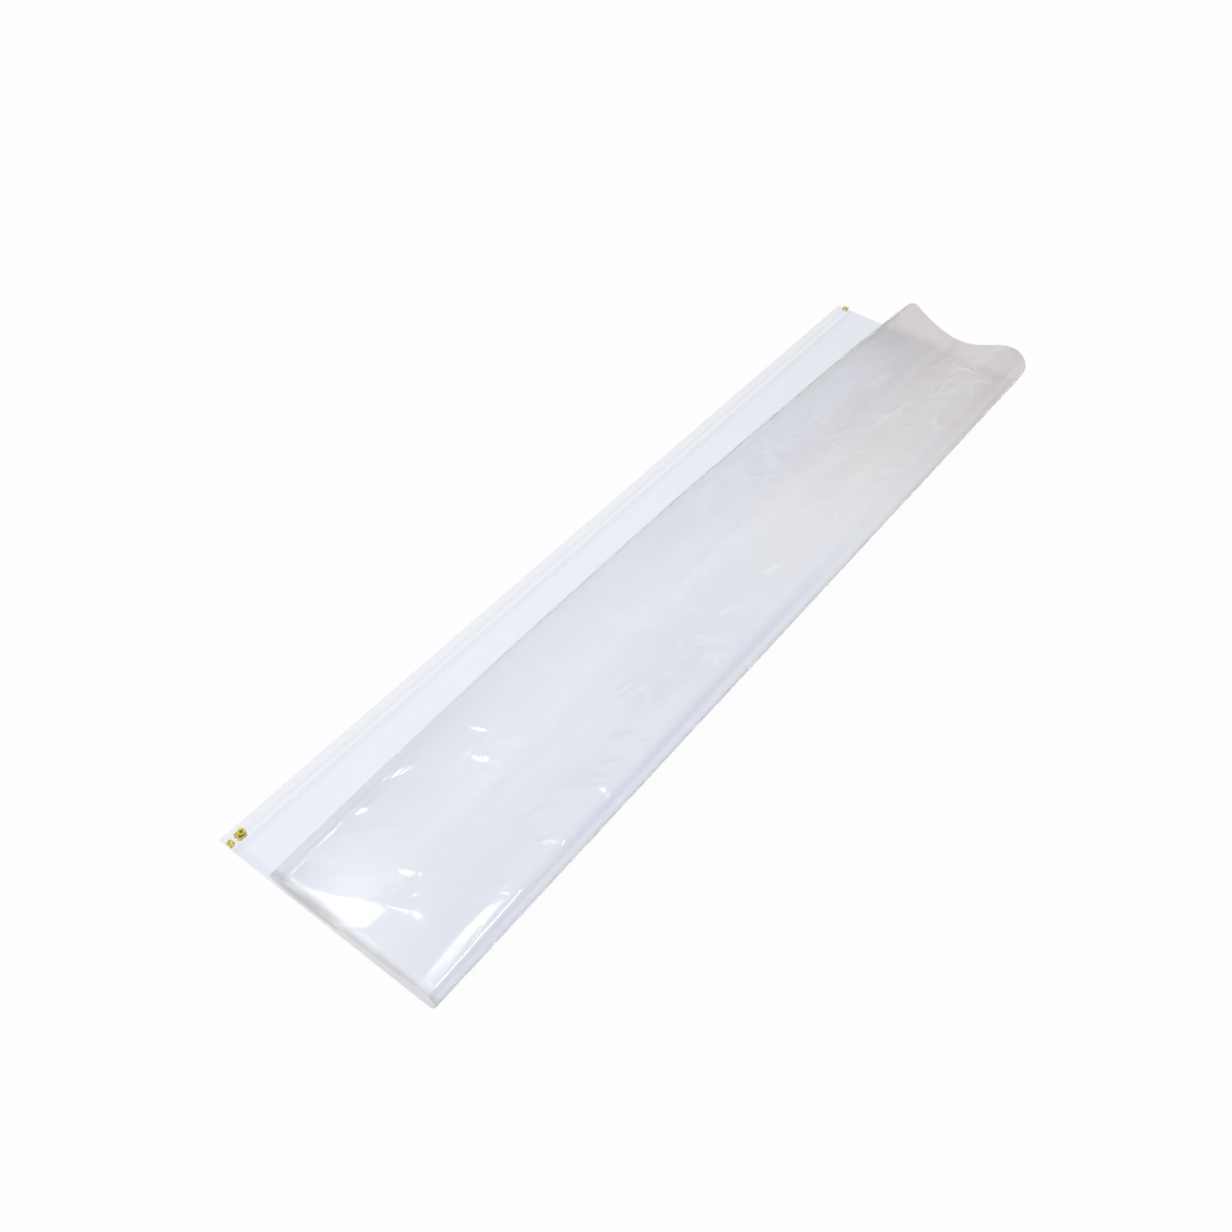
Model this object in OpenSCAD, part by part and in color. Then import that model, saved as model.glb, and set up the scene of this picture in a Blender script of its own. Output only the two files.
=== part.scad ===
// Clear vinyl plan sleeve with a slider zip, folded lengthwise into a flat roll.
// X runs along the sleeve from the near end to the far end, +Y points to the
// zip edge and +Z is up. The origin is at the bottom centre of the folded sleeve.
// The sleeve is two plies of film, welded along both ends and along the bottom.
// A section of the roll is a curve that starts at the zip edge, runs along the
// floor, turns up round the outer fold, comes back over the top, turns under at
// the inner fold and ends at the bottom weld. The near and the far section
// differ, and the film between them is made of straight lines from one to the other.

/* [Sleeve] */
// Length of the sleeve along the zip
sleeve_l = 965; // [700:5:1200]
// Depth of the sleeve from the zip edge to the bottom weld, laid flat
flat_depth = 520; // [500:5:540]
// Width of the sleeve as folded, at the near end
folded_w = 248; // [244:1:254]
// Thickness of one ply of film
film_t = 0.3; // [0.2:0.05:0.4]
// Gap between the two plies
ply_gap = 0.6; // [0.4:0.1:0.8]
// Width of the welds at the ends and the bottom
weld_w = 6; // [4:1:10]

/* [Outer fold] */
// Radius of the fold at the near end
near_fold_r = 9; // [7:0.5:11]
// Radius of the fold at the far end
far_fold_r = 20; // [16:0.5:22]
// How far the fold is drawn in at the far end
far_fold_in = 5; // [2:1:8]

/* [Upper run] */
// How far in from the middle the near crest lies, towards the zip
near_crest_y = 38.5; // [34:0.5:42]
// Height of the near crest
near_crest_z = 19; // [17:0.5:22]
// Slope of the film as it climbs to the near crest, in degrees
near_crest_slope = 10; // [0:1:20]
// How far in from the middle the far crest lies, towards the zip
far_crest_y = 22; // [20:0.5:28]
// Height of the far crest
far_crest_z = 44; // [40:0.5:48]
// Slope of the film as it climbs to the far crest, in degrees
far_crest_slope = 33; // [20:1:40]
// How far the film holds its height past the outer fold
fold_hold = 32; // [25:1:40]
// How deep the film sags before the crest, as the length of its curve's handle
sag_pull = 85; // [75:1:90]

/* [Inner fold] */
// Where the near fold ends and the hidden inner run starts
near_turn_y = 50.5; // [48:0.5:53]
// Where the far fold ends and the hidden inner run starts
far_turn_y = 36.5; // [33:0.5:39]
// Height of the inner run above the floor
inner_z = 7.5; // [6.5:0.5:8]
// How far the film carries on past the near crest before it turns down
near_crest_hold = 15; // [12:1:17]
// How far the film carries on past the far crest before it turns down
far_crest_hold = 18; // [14:1:20]
// How far the film swells out before it turns in
turn_hold = 17; // [14:1:19]

/* [Joints of the film] */
// Distance of each fold line outside the middle of the film
pivot_out = 0.9; // [0.8:0.1:1.5]
// Part of a fold left free on each side of a fold line, in degrees of the outer fold
fold_line_deg = 1; // [1:0.5:2]

/* [Zip] */
// Distance of the zip line from the edge of the sleeve
zip_inset = 12; // [10:0.5:14]
// Width of the neck of the closed zip rail
rail_neck_w = 2.4; // [2:0.2:3]
// Width of the head of the closed zip rail
rail_head_w = 4.4; // [4:0.2:5]
// Height of the zip rail's head
rail_head_h = 0.9; // [0.8:0.1:1.2]
// Height of the rail's neck above the flanges
rail_neck_h = 1.7; // [1.6:0.1:2]
// Thickness of the zip flanges
flange_t = 0.6; // [0.5:0.05:0.6]
// Width of the inner flange, which the front ply is welded to
inner_flange_w = 9; // [7:0.5:12]
// Length of the brass end stops
stop_l = 5; // [4:0.5:7]
// Distance of the end stops from the ends of the sleeve
stop_inset = 0.6; // [0.4:0.1:2]

/* [Slider] */
// Length of the slider
slider_l = 9; // [8:0.5:11]
// Width of the slider
slider_w = 7.8; // [7.6:0.1:9]
// Distance of the slider from the near end
slider_at = 9.5; // [8:0.5:14]
// Clearance between the slider and the rail
slider_gap = 0.3; // [0.25:0.05:0.4]
// Thickness of the slider's top plate
slider_top_t = 1; // [0.8:0.1:1.4]
// Radius of the bar that the pull hangs on
bail_r = 0.55; // [0.5:0.05:0.7]
// Distance of the bail bar from the near end of the slider
bail_at = 1.2; // [1.2:0.1:2]
// Diameter of the pull's round end
pull_d = 7.2; // [6.4:0.2:7.4]
// Diameter of the hole in the pull's round end
pull_hole_d = 3.0; // [2.4:0.2:3.4]
// Distance from the bail bar to the middle of the pull's round end
pull_reach = 4.6; // [4.6:0.2:6]
// Thickness of the pull
pull_t = 1; // [0.8:0.1:1.2]

/* [Hidden] */
$fn = 48;
film_colour = [0.86, 0.89, 0.94, 0.5];
track_colour = [0.84, 0.88, 0.95, 0.7];
brass_colour = [0.72, 0.60, 0.20];

// Offsets of the film's faces from the middle of the sleeve, outwards positive
gap_half = ply_gap / 2;
skin = gap_half + film_t;
floor_mid = skin;

// Zip edge, zip line and the front ply's edge, which laps over part of the flange
front_lap = 0.6;
edge_y = folded_w / 2;
zip_y = edge_y - zip_inset;
inner_flange_y = zip_y - rail_neck_w / 2 - inner_flange_w;
front_edge_y = inner_flange_y + inner_flange_w * front_lap;
track_gap = 0.1;
track_z = film_t;
flange_top = track_z + flange_t;
head_z = flange_top + rail_neck_h;
rail_top = head_z + rail_head_h;

// Near and far ends, as list places
NEAR = 0;
FAR = 1;
fold_r = [near_fold_r, far_fold_r];
fold_in = [0, far_fold_in];
crest_hold = [near_crest_hold, far_crest_hold];
crest = [[near_crest_y, near_crest_z], [far_crest_y, far_crest_z]];
crest_slope = [near_crest_slope, far_crest_slope];
turn = [[near_turn_y, inner_z], [far_turn_y, inner_z]];

// Where the outer fold starts on the floor and ends on top
function fold_y(e) = -edge_y + skin + fold_r[e] + fold_in[e];
function fold_point(e, deg) = [
    fold_y(e) - fold_r[e] * sin(deg),
    floor_mid + fold_r[e] * (1 - cos(deg))
];

// A cubic curve through a and d, with b and c as its handles
function cubic(a, b, c, d, t) =
    pow(1 - t, 3) * a + 3 * t * pow(1 - t, 2) * b + 3 * t * t * (1 - t) * c + pow(t, 3) * d;

// The direction in which the film climbs to the crest
function climb(e) = [cos(crest_slope[e]), sin(crest_slope[e])];
function upper_point(e, t) = cubic(
    fold_point(e, 180),
    fold_point(e, 180) + [fold_hold, 0],
    crest[e] - sag_pull * climb(e),
    crest[e],
    t
);
function lobe_point(e, t) = cubic(
    crest[e],
    crest[e] + crest_hold[e] * climb(e),
    turn[e] + [turn_hold, 0],
    turn[e],
    t
);

// The length of a row of points
function row_length(row) =
    len(row) < 2 ? 0 : norm_sum([for (i = [1:len(row) - 1]) norm(row[i] - row[i - 1])], 0);
function norm_sum(list, i) = i >= len(list) ? 0 : list[i] + norm_sum(list, i + 1);

// The inner run takes what the other stretches leave of the flat depth
CURVE_STEPS = 16;
function inner_l(e) =
    flat_depth - (edge_y - fold_y(e)) - PI * fold_r[e]
    - row_length([for (i = [0:CURVE_STEPS]) upper_point(e, i / CURVE_STEPS)])
    - row_length([for (i = [0:CURVE_STEPS]) lobe_point(e, i / CURVE_STEPS)]);

// Fold lines: two on each fold, a quarter of the way in from each side. The whole
// curve of the inner fold counts as LOBE_DEG degrees.
FOLD_LINES = [45, 135];
LOBE_LINES = [0.25, 0.75];
LOBE_DEG = 100;
lobe_line_gap = fold_line_deg / LOBE_DEG;
function span(a, b, n) = [for (i = [0:n]) a + (b - a) * i / n];

// The rows of points of the five stretches, from the zip edge to the bottom weld.
// The lower row's first OPEN_POINTS lie beside the zip, where no end weld reaches.
// FOLD_START_DEG and LOBE_START are the first points of the folds past a smooth run.
OPEN_POINTS = 2;
FLOOR_STEPS = 3;
SIDE_STEPS = 3;
FOLD_STEPS = 8;
TURN_STEPS = 4;
FOLD_START_DEG = 11;
LOBE_START = 0.06;
weld_start_y = inner_flange_y - track_gap;
function lower_row(e, start_y) = concat(
    [[start_y, floor_mid], [weld_start_y + gap_half, floor_mid]],
    [for (t = span(0, 1, FLOOR_STEPS)) [weld_start_y + (fold_y(e) - weld_start_y) * t, floor_mid]],
    [for (deg = span(FOLD_START_DEG, FOLD_LINES[0] - fold_line_deg, SIDE_STEPS)) fold_point(e, deg)]
);
function outer_fold_row(e) =
    [for (deg = span(FOLD_LINES[0] + fold_line_deg, FOLD_LINES[1] - fold_line_deg, FOLD_STEPS))
        fold_point(e, deg)];
function upper_row(e) = concat(
    [for (deg = span(FOLD_LINES[1] + fold_line_deg, 180 - FOLD_START_DEG, SIDE_STEPS))
        fold_point(e, deg)],
    [for (t = span(0, 1, CURVE_STEPS)) upper_point(e, t)],
    [for (t = span(LOBE_START, LOBE_LINES[0] - lobe_line_gap, SIDE_STEPS)) lobe_point(e, t)]
);
function inner_fold_row(e) =
    [for (t = span(LOBE_LINES[0] + lobe_line_gap, LOBE_LINES[1] - lobe_line_gap, FOLD_STEPS))
        lobe_point(e, t)];
function inner_row(e) = concat(
    [for (t = span(LOBE_LINES[1] + lobe_line_gap, 1, TURN_STEPS)) lobe_point(e, t)],
    [for (s = [0.5, 1]) turn[e] - [s * (inner_l(e) - weld_w - gap_half), 0]],
    [for (s = [weld_w, 0]) turn[e] - [inner_l(e) - s, 0]]
);

// The outward direction of the film at point i of a row
function outward(row, i) =
    let (
        a = row[max(i - 1, 0)],
        b = row[min(i + 1, len(row) - 1)],
        d = (b - a) / norm(b - a)
    )
    [-d[1], d[0]];

// Places along the sleeve: the welds' edges at both ends, and the run between
columns = concat(
    [0, weld_w, weld_w + gap_half],
    [for (t = [0.25, 0.5, 0.75]) t * sleeve_l],
    [sleeve_l - weld_w - gap_half, sleeve_l - weld_w, sleeve_l]
);
function in_end_weld(x) = x <= weld_w || x >= sleeve_l - weld_w;

// A row of points part of the way from the near row to the far row
function row_at(near_row, far_row, v) =
    [for (i = [0:len(near_row) - 1]) near_row[i] + (far_row[i] - near_row[i]) * v];

// One face of a ply: for each column, the row moved outwards by its offsets
function face_points(near_row, far_row, offsets) = [
    for (c = [0:len(columns) - 1])
        let (row = row_at(near_row, far_row, columns[c] / sleeve_l))
        for (i = [0:len(row) - 1])
            let (p = row[i] + offsets[c][i] * outward(row, i))
            [columns[c] - sleeve_l / 2, p[0], p[1]]
];

// Two triangles for the square between columns c, c + 1 and points i, i + 1
function square_faces(a, b, c, d) = [[a, b, c], [a, c, d]];

// A closed ply of film between two sets of offsets
module ply(near_row, far_row, outer_offsets, inner_offsets) {
    n = len(near_row);
    m = len(columns);
    points = concat(
        face_points(near_row, far_row, outer_offsets),
        face_points(near_row, far_row, inner_offsets)
    );
    back = n * m;
    faces = concat(
        [for (c = [0:m - 2]) for (i = [0:n - 2])
            each square_faces(c * n + i, (c + 1) * n + i, (c + 1) * n + i + 1, c * n + i + 1)],
        [for (c = [0:m - 2]) for (i = [0:n - 2]) each [
            [back + c * n + i, back + (c + 1) * n + i + 1, back + (c + 1) * n + i],
            [back + c * n + i, back + c * n + i + 1, back + (c + 1) * n + i + 1]
        ]],
        [for (c = [0:m - 2]) each concat(
            square_faces(c * n, back + c * n, back + (c + 1) * n, (c + 1) * n),
            square_faces(c * n + n - 1, (c + 1) * n + n - 1,
                back + (c + 1) * n + n - 1, back + c * n + n - 1)
        )],
        [for (i = [0:n - 2]) each concat(
            square_faces(i, i + 1, back + i + 1, back + i),
            square_faces((m - 1) * n + i, back + (m - 1) * n + i,
                back + (m - 1) * n + i + 1, (m - 1) * n + i + 1)
        )]
    );
    color(film_colour) polyhedron(points, faces, convexity = 6);
}

// The back ply, on the outside of the roll, thickened where it is welded.
// No weld reaches the row's first open_points, and its last bottom_points lie in
// the bottom weld.
module back_ply(near_row, far_row, open_points = 0, bottom_points = 0) {
    n = len(near_row);
    outer = [for (x = columns) [for (i = [0:n - 1]) skin]];
    inner = [for (x = columns) [for (i = [0:n - 1])
        in_end_weld(x) && i >= open_points || i >= n - bottom_points ? -gap_half : gap_half]];
    ply(near_row, far_row, outer, inner);
}

// The front ply, on the inside of the roll
module front_ply(near_row, far_row) {
    n = len(near_row);
    outer = [for (x = columns) [for (i = [0:n - 1]) -gap_half]];
    inner = [for (x = columns) [for (i = [0:n - 1]) -skin]];
    ply(near_row, far_row, outer, inner);
}

// The lower back ply reaches the zip edge, where it carries the outer track
module back_panel_lower() {
    back_ply(lower_row(NEAR, edge_y), lower_row(FAR, edge_y), open_points = OPEN_POINTS);
}
module front_panel_lower() {
    front_ply(lower_row(NEAR, front_edge_y), lower_row(FAR, front_edge_y));
}
module back_panel_outer_fold() {
    back_ply(outer_fold_row(NEAR), outer_fold_row(FAR));
}
module front_panel_outer_fold() {
    front_ply(outer_fold_row(NEAR), outer_fold_row(FAR));
}
module back_panel_upper() {
    back_ply(upper_row(NEAR), upper_row(FAR));
}
module front_panel_upper() {
    front_ply(upper_row(NEAR), upper_row(FAR));
}
module back_panel_inner_fold() {
    back_ply(inner_fold_row(NEAR), inner_fold_row(FAR));
}
module front_panel_inner_fold() {
    front_ply(inner_fold_row(NEAR), inner_fold_row(FAR));
}
BOTTOM_POINTS = 2;
module back_panel_inner() {
    back_ply(inner_row(NEAR), inner_row(FAR), bottom_points = BOTTOM_POINTS);
}
module front_panel_inner() {
    front_ply(inner_row(NEAR), inner_row(FAR));
}

// A section in Y and Z, carried along X from one place to another
module along_x(from, length) {
    translate([from - sleeve_l / 2, zip_y, 0])
        rotate([90, 0, 90])
            linear_extrude(height = length)
                children();
}

// Half of the rail: a flange, a neck and half of the head, on the +Y side
module half_rail(flange_end, flange_bottom) {
    half_gap = track_gap / 2;
    translate([half_gap, flange_bottom])
        square([flange_end - half_gap, flange_top - flange_bottom]);
    translate([half_gap, flange_bottom])
        square([rail_neck_w / 2 - half_gap, rail_top - flange_bottom]);
    translate([half_gap, head_z])
        square([rail_head_w / 2 - half_gap, rail_head_h]);
}

// The rib of the outer track that snaps into the groove of the inner track
rib_h = 0.7;
rib_d = 0.5;
rib_z = flange_top + rail_neck_h / 2;
track_end = 0.2;

module zip_outer_track() {
    color(track_colour)
        along_x(track_end, sleeve_l - 2 * track_end)
            union() {
                half_rail(zip_inset - track_end, track_z);
                translate([-rib_d, rib_z - rib_h / 2])
                    square([rib_d + track_gap, rib_h]);
            }
}
module zip_inner_track() {
    color(track_colour)
        along_x(track_end, sleeve_l - 2 * track_end)
            difference() {
                mirror([1, 0])
                    half_rail(rail_neck_w / 2 + inner_flange_w, track_z + 2 * track_gap);
                translate([-rib_d - track_gap, rib_z - rib_h / 2 - track_gap])
                    square([rib_d + 2 * track_gap, rib_h + 2 * track_gap]);
            }
}

// The C section that clips round the head of the rail. Cuts run CUT past what they cut.
CUT = 1;
clip_z = flange_top + film_t + slider_gap;
module clip_section(width, gap, top_t) {
    difference() {
        translate([-width / 2, clip_z])
            square([width, rail_top + gap + top_t - clip_z]);
        translate([-rail_head_w / 2 - gap, head_z - gap])
            square([rail_head_w + 2 * gap, rail_head_h + 2 * gap]);
        translate([-rail_neck_w / 2 - gap, clip_z - CUT])
            square([rail_neck_w + 2 * gap, head_z - clip_z + CUT]);
    }
}

stop_wall = 1;
stop_w = rail_head_w + 2 * stop_wall;
stop_top_t = 0.8;
module end_stop(from) {
    color(brass_colour)
        along_x(from, stop_l)
            clip_section(stop_w, 0, stop_top_t);
}
module near_end_stop() {
    end_stop(stop_inset);
}
module far_end_stop() {
    end_stop(sleeve_l - stop_inset - stop_l);
}

slider_top = rail_top + slider_gap + slider_top_t;
slider_mid = slider_at + slider_l / 2;
// The slider's ends are rounded by a circle a little wider than its length
slider_round = 1.2;
slider_round_r = slider_l / 2 * slider_round;
module slider_body() {
    color(brass_colour)
        intersection() {
            along_x(slider_at, slider_l)
                clip_section(slider_w, slider_gap, slider_top_t);
            translate([slider_mid - sleeve_l / 2, zip_y, 0])
                cylinder(r = slider_round_r, h = slider_top + CUT);
        }
}

// The bail: two lugs on the slider's top plate with a round bar between them
pull_eye_gap = 0.15;
pull_eye_wall = 0.5;
pull_eye_r = bail_r + pull_eye_gap + pull_eye_wall;
pull_eye_lift = 0.1;
bail_z = slider_top + pull_eye_r + pull_eye_lift;
bail_x = slider_at + bail_at - sleeve_l / 2;
pull_eye_w = 2.6;
lug_t = 0.9;
lug_gap = 0.2;
lug_wall = 0.5;
lug_r = bail_r + lug_wall;
module bail_lug(side) {
    lug_y = zip_y + side * (pull_eye_w / 2 + lug_gap + lug_t / 2);
    translate([bail_x, lug_y + lug_t / 2, bail_z])
        rotate([90, 0, 0])
            cylinder(r = lug_r, h = lug_t);
    translate([bail_x - lug_r, lug_y - lug_t / 2, slider_top])
        cube([2 * lug_r, lug_t, bail_z - slider_top]);
}
module slider_bail() {
    bar_l = pull_eye_w + 2 * lug_gap + lug_t;
    color(brass_colour) {
        bail_lug(-1);
        bail_lug(1);
        translate([bail_x, zip_y + bar_l / 2, bail_z])
            rotate([90, 0, 0])
                cylinder(r = bail_r, h = bar_l);
    }
}

// The pull: an eye on the bail bar, a short shank and a round end with a hole. It lies
// over the slider, and swings up and back towards the near end.
shank_w = 2.6;
pull_z = bail_z - pull_t / 2;
module slider_pull() {
    color(brass_colour)
        difference() {
            union() {
                translate([bail_x, zip_y + pull_eye_w / 2, bail_z])
                    rotate([90, 0, 0])
                        cylinder(r = pull_eye_r, h = pull_eye_w);
                translate([bail_x, zip_y - shank_w / 2, pull_z])
                    cube([pull_reach, shank_w, pull_t]);
                translate([bail_x + pull_reach, zip_y, pull_z])
                    cylinder(d = pull_d, h = pull_t);
            }
            translate([bail_x, zip_y + pull_eye_w, bail_z])
                rotate([90, 0, 0])
                    cylinder(r = bail_r + pull_eye_gap, h = 2 * pull_eye_w);
            translate([bail_x + pull_reach, zip_y, pull_z - CUT])
                cylinder(d = pull_hole_d, h = pull_t + 2 * CUT);
        }
}

// Fold lines of the film: a point at the near end and one at the far end, set
// a little outside the film, for the hinges of the five stretches
function fold_line(e, deg) =
    fold_point(e, deg) + pivot_out * [-sin(deg), -cos(deg)];
LOBE_STEP = 0.01;
function lobe_line(e, t) =
    let (
        d = lobe_point(e, t + LOBE_STEP) - lobe_point(e, t - LOBE_STEP),
        u = d / norm(d)
    )
    lobe_point(e, t) + pivot_out * [-u[1], u[0]];
echo(outer_lines = [for (deg = FOLD_LINES) [for (e = [NEAR, FAR]) fold_line(e, deg)]]);
echo(inner_lines = [for (t = LOBE_LINES) [for (e = [NEAR, FAR]) lobe_line(e, t)]]);
echo(inner_run = [inner_l(NEAR), inner_l(FAR)]);
echo(slider_travel = [
    stop_inset + stop_l - slider_at,
    sleeve_l - stop_inset - stop_l - slider_at - slider_l
]);
echo(bail = [bail_x, zip_y, bail_z]);

back_panel_lower();
front_panel_lower();
back_panel_outer_fold();
front_panel_outer_fold();
back_panel_upper();
front_panel_upper();
back_panel_inner_fold();
front_panel_inner_fold();
back_panel_inner();
front_panel_inner();
zip_outer_track();
zip_inner_track();
near_end_stop();
far_end_stop();
slider_body();
slider_bail();
slider_pull();
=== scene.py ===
# %% [markdown]
# A plan storage sleeve is two sheets of clear vinyl, welded round three sides and zipped along the
# fourth, and here it is folded lengthwise into a flat roll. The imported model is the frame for
# everything that follows: it is loaded first, and nothing in it is moved.

import bpy
import numpy as np
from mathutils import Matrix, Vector


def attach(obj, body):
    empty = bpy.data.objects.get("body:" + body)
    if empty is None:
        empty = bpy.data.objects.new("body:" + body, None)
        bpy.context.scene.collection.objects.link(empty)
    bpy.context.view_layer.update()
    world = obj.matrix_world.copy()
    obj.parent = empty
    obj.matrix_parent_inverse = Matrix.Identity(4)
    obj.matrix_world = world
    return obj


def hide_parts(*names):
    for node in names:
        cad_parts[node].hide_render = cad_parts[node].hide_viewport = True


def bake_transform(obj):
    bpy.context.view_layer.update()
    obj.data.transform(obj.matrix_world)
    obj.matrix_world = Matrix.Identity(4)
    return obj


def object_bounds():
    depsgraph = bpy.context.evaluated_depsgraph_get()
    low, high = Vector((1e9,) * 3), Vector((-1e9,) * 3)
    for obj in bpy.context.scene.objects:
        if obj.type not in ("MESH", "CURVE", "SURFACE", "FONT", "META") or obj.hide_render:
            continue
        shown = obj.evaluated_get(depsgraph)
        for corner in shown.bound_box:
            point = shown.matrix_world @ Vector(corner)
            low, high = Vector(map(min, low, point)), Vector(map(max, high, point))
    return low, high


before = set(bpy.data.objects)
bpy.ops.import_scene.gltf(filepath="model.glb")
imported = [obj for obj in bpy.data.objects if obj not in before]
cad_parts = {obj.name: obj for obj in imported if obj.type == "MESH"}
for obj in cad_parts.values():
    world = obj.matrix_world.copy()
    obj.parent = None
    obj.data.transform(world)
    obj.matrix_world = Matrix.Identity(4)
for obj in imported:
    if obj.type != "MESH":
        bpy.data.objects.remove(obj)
cad_low, cad_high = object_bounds()
MM = 0.001
print("nodes in the frame:", len(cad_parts), "box", list(cad_low), list(cad_high))

# %% [markdown]
# The camera stands at the near end, to the right of the sleeve and about a metre up, and looks down
# its length. Its place was found by laying the sleeve's edges over the photograph, and the lens
# follows from how fast the sleeve narrows towards its far end.

# %% The camera
CAMERA_PLACE = Vector((-0.7756, -0.5278, 0.9715))
CAMERA_AIM = Vector((-0.0793, 0.0211, 0.0))
CAMERA_LENS = 40.22

camera_data = bpy.data.cameras.new("photo_camera")
camera_data.lens = CAMERA_LENS
camera = bpy.data.objects.new("photo_camera", camera_data)
camera.location = CAMERA_PLACE
camera.rotation_mode = "QUATERNION"
camera.rotation_quaternion = (CAMERA_AIM - CAMERA_PLACE).to_track_quat("-Z", "Y")
bpy.context.scene.collection.objects.link(camera)
bpy.context.scene.camera = camera
print("camera to aim point:", round((CAMERA_AIM - CAMERA_PLACE).length, 3), "m")

# %% [markdown]
# A section across the roll is one curve. It starts at the zip edge, runs along the floor, turns up
# round the outer fold, comes back over the top, turns under at the inner fold and ends at the bottom
# weld. The near and the far section differ: the far one is looser and stands higher. Each stretch is
# an arc or a cubic curve, so both sections come from one function with their own few sizes.

# %% Sizes of the sections
SLEEVE_LENGTH = cad_high.x - cad_low.x
ZIP_EDGE_Y = cad_high.y
FILM = 0.3 * MM
PLY_GAP = 0.6 * MM
PLY_MIDDLE = (PLY_GAP + FILM) / 2
FLOOR_MIDDLE = PLY_GAP / 2 + FILM
INNER_HEIGHT = 7.5 * MM
WELD = 6 * MM
# how far each curve keeps its direction: the top as it leaves the outer fold and as it nears the crest,
# and the inner fold as it turns under
FOLD_HOLD = 32 * MM
SAG_PULL = 85 * MM
TURN_HOLD = 17 * MM

NEAR = dict(fold_radius=9 * MM, fold_in=0, crest=(38.5 * MM, 19 * MM), slope=10,
            crest_hold=15 * MM, turn_y=50.5 * MM, inner_length=67.5 * MM)
FAR = dict(fold_radius=20 * MM, fold_in=5 * MM, crest=(22 * MM, 44 * MM), slope=33,
           crest_hold=18 * MM, turn_y=36.5 * MM, inner_length=52.8 * MM)
print("sleeve", round(SLEEVE_LENGTH, 4), "m long, zip edge at y", round(ZIP_EDGE_Y, 4))

# %% [markdown]
# The outer fold of a soft film is close to round, so it is an arc. The top and the inner fold are cubic
# curves that leave and arrive along given directions, as a sheet does that is held at two places. A
# cubic needs only four points, so a fold can be made tighter or looser with one number.

# %% Curves of the section
LOBE_STEPS = 2001


def cubic(a, b, c, d, t):
    """Bezier curve: the four points weighed by the cubes and squares of t and 1 - t."""
    t = t[:, None]
    s = 1 - t
    return s**3 * a + 3 * s * s * t * b + 3 * s * t * t * c + t**3 * d


def climb_at_crest(end):
    """Unit direction of the film at the crest: the cosine and the sine of its slope."""
    slope = np.radians(end["slope"])
    return np.array([np.cos(slope), np.sin(slope)])


def lobe_points(end, t):
    """Inner fold: a cubic that leaves the crest along its climb and comes back level to the turn."""
    crest = np.array(end["crest"])
    turn = np.array([end["turn_y"], INNER_HEIGHT])
    level = np.array([TURN_HOLD, 0])
    return cubic(crest, crest + end["crest_hold"] * climb_at_crest(end), turn + level, turn, t)


def fold_points(end, degrees):
    """Outer fold: an arc that starts level on the floor and turns up and over."""
    radius = end["fold_radius"]
    middle_y = -ZIP_EDGE_Y + FLOOR_MIDDLE + radius + end["fold_in"]
    a = np.radians(degrees)
    return np.stack([middle_y - radius * np.sin(a), FLOOR_MIDDLE + radius * (1 - np.cos(a))], 1)


def widest_of_lobe(end):
    """The share of the inner fold's curve at which it stands furthest out towards the zip."""
    t = np.linspace(0, 1, LOBE_STEPS)
    return t[np.argmax(lobe_points(end, t)[:, 0])]


print("the inner fold is widest at", [f"{widest_of_lobe(end):.3f}" for end in (NEAR, FAR)], "of its curve")

# %% [markdown]
# A section is these curves in a row, from the zip edge to the bottom weld. Every section has the same
# number of rows in each stretch, so sections can be joined row by row, and each cut between two pieces
# falls on a known row. The folds have closer rows than the flat runs, because they bend more.

# %% One section as a row of points
ROWS = dict(floor=40, rise=26, fall=26, top=91, crest=32, under=32, tucked=20)


def section(end, start_y):
    """One row of (y, z) from the zip edge to the bottom weld."""
    fold_start = fold_points(end, np.array([0.0]))[0]
    fold_end = fold_points(end, np.array([180.0]))[0]
    crest = np.array(end["crest"])
    climb = climb_at_crest(end)
    widest = widest_of_lobe(end)
    floor_y = np.linspace(start_y, fold_start[0], ROWS["floor"])
    parts = [
        np.stack([floor_y, np.full_like(floor_y, FLOOR_MIDDLE)], 1),
        fold_points(end, np.linspace(0, 90, ROWS["rise"]))[1:],
        fold_points(end, np.linspace(90, 180, ROWS["fall"]))[1:],
        cubic(fold_end, fold_end + np.array([FOLD_HOLD, 0]), crest - SAG_PULL * climb, crest,
              np.linspace(0, 1, ROWS["top"]))[1:],
        lobe_points(end, np.linspace(0, widest, ROWS["crest"]))[1:],
        lobe_points(end, np.linspace(widest, 1, ROWS["under"]))[1:],
        np.stack([np.linspace(end["turn_y"], end["turn_y"] - end["inner_length"], ROWS["tucked"]),
                  np.full(ROWS["tucked"], INNER_HEIGHT)], 1)[1:],
    ]
    return np.concatenate(parts)


PIECE_ROWS = dict(
    floor_run=ROWS["floor"] + ROWS["rise"] - 2,
    top_run=ROWS["fall"] + ROWS["top"] - 2,
    inner_turn=ROWS["crest"] - 1,
    tucked_run=ROWS["under"] + ROWS["tucked"] - 2,
)
LAST_ROW = dict(zip(PIECE_ROWS, np.cumsum(list(PIECE_ROWS.values())).tolist()))
print("each piece ends at row", LAST_ROW)
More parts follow.
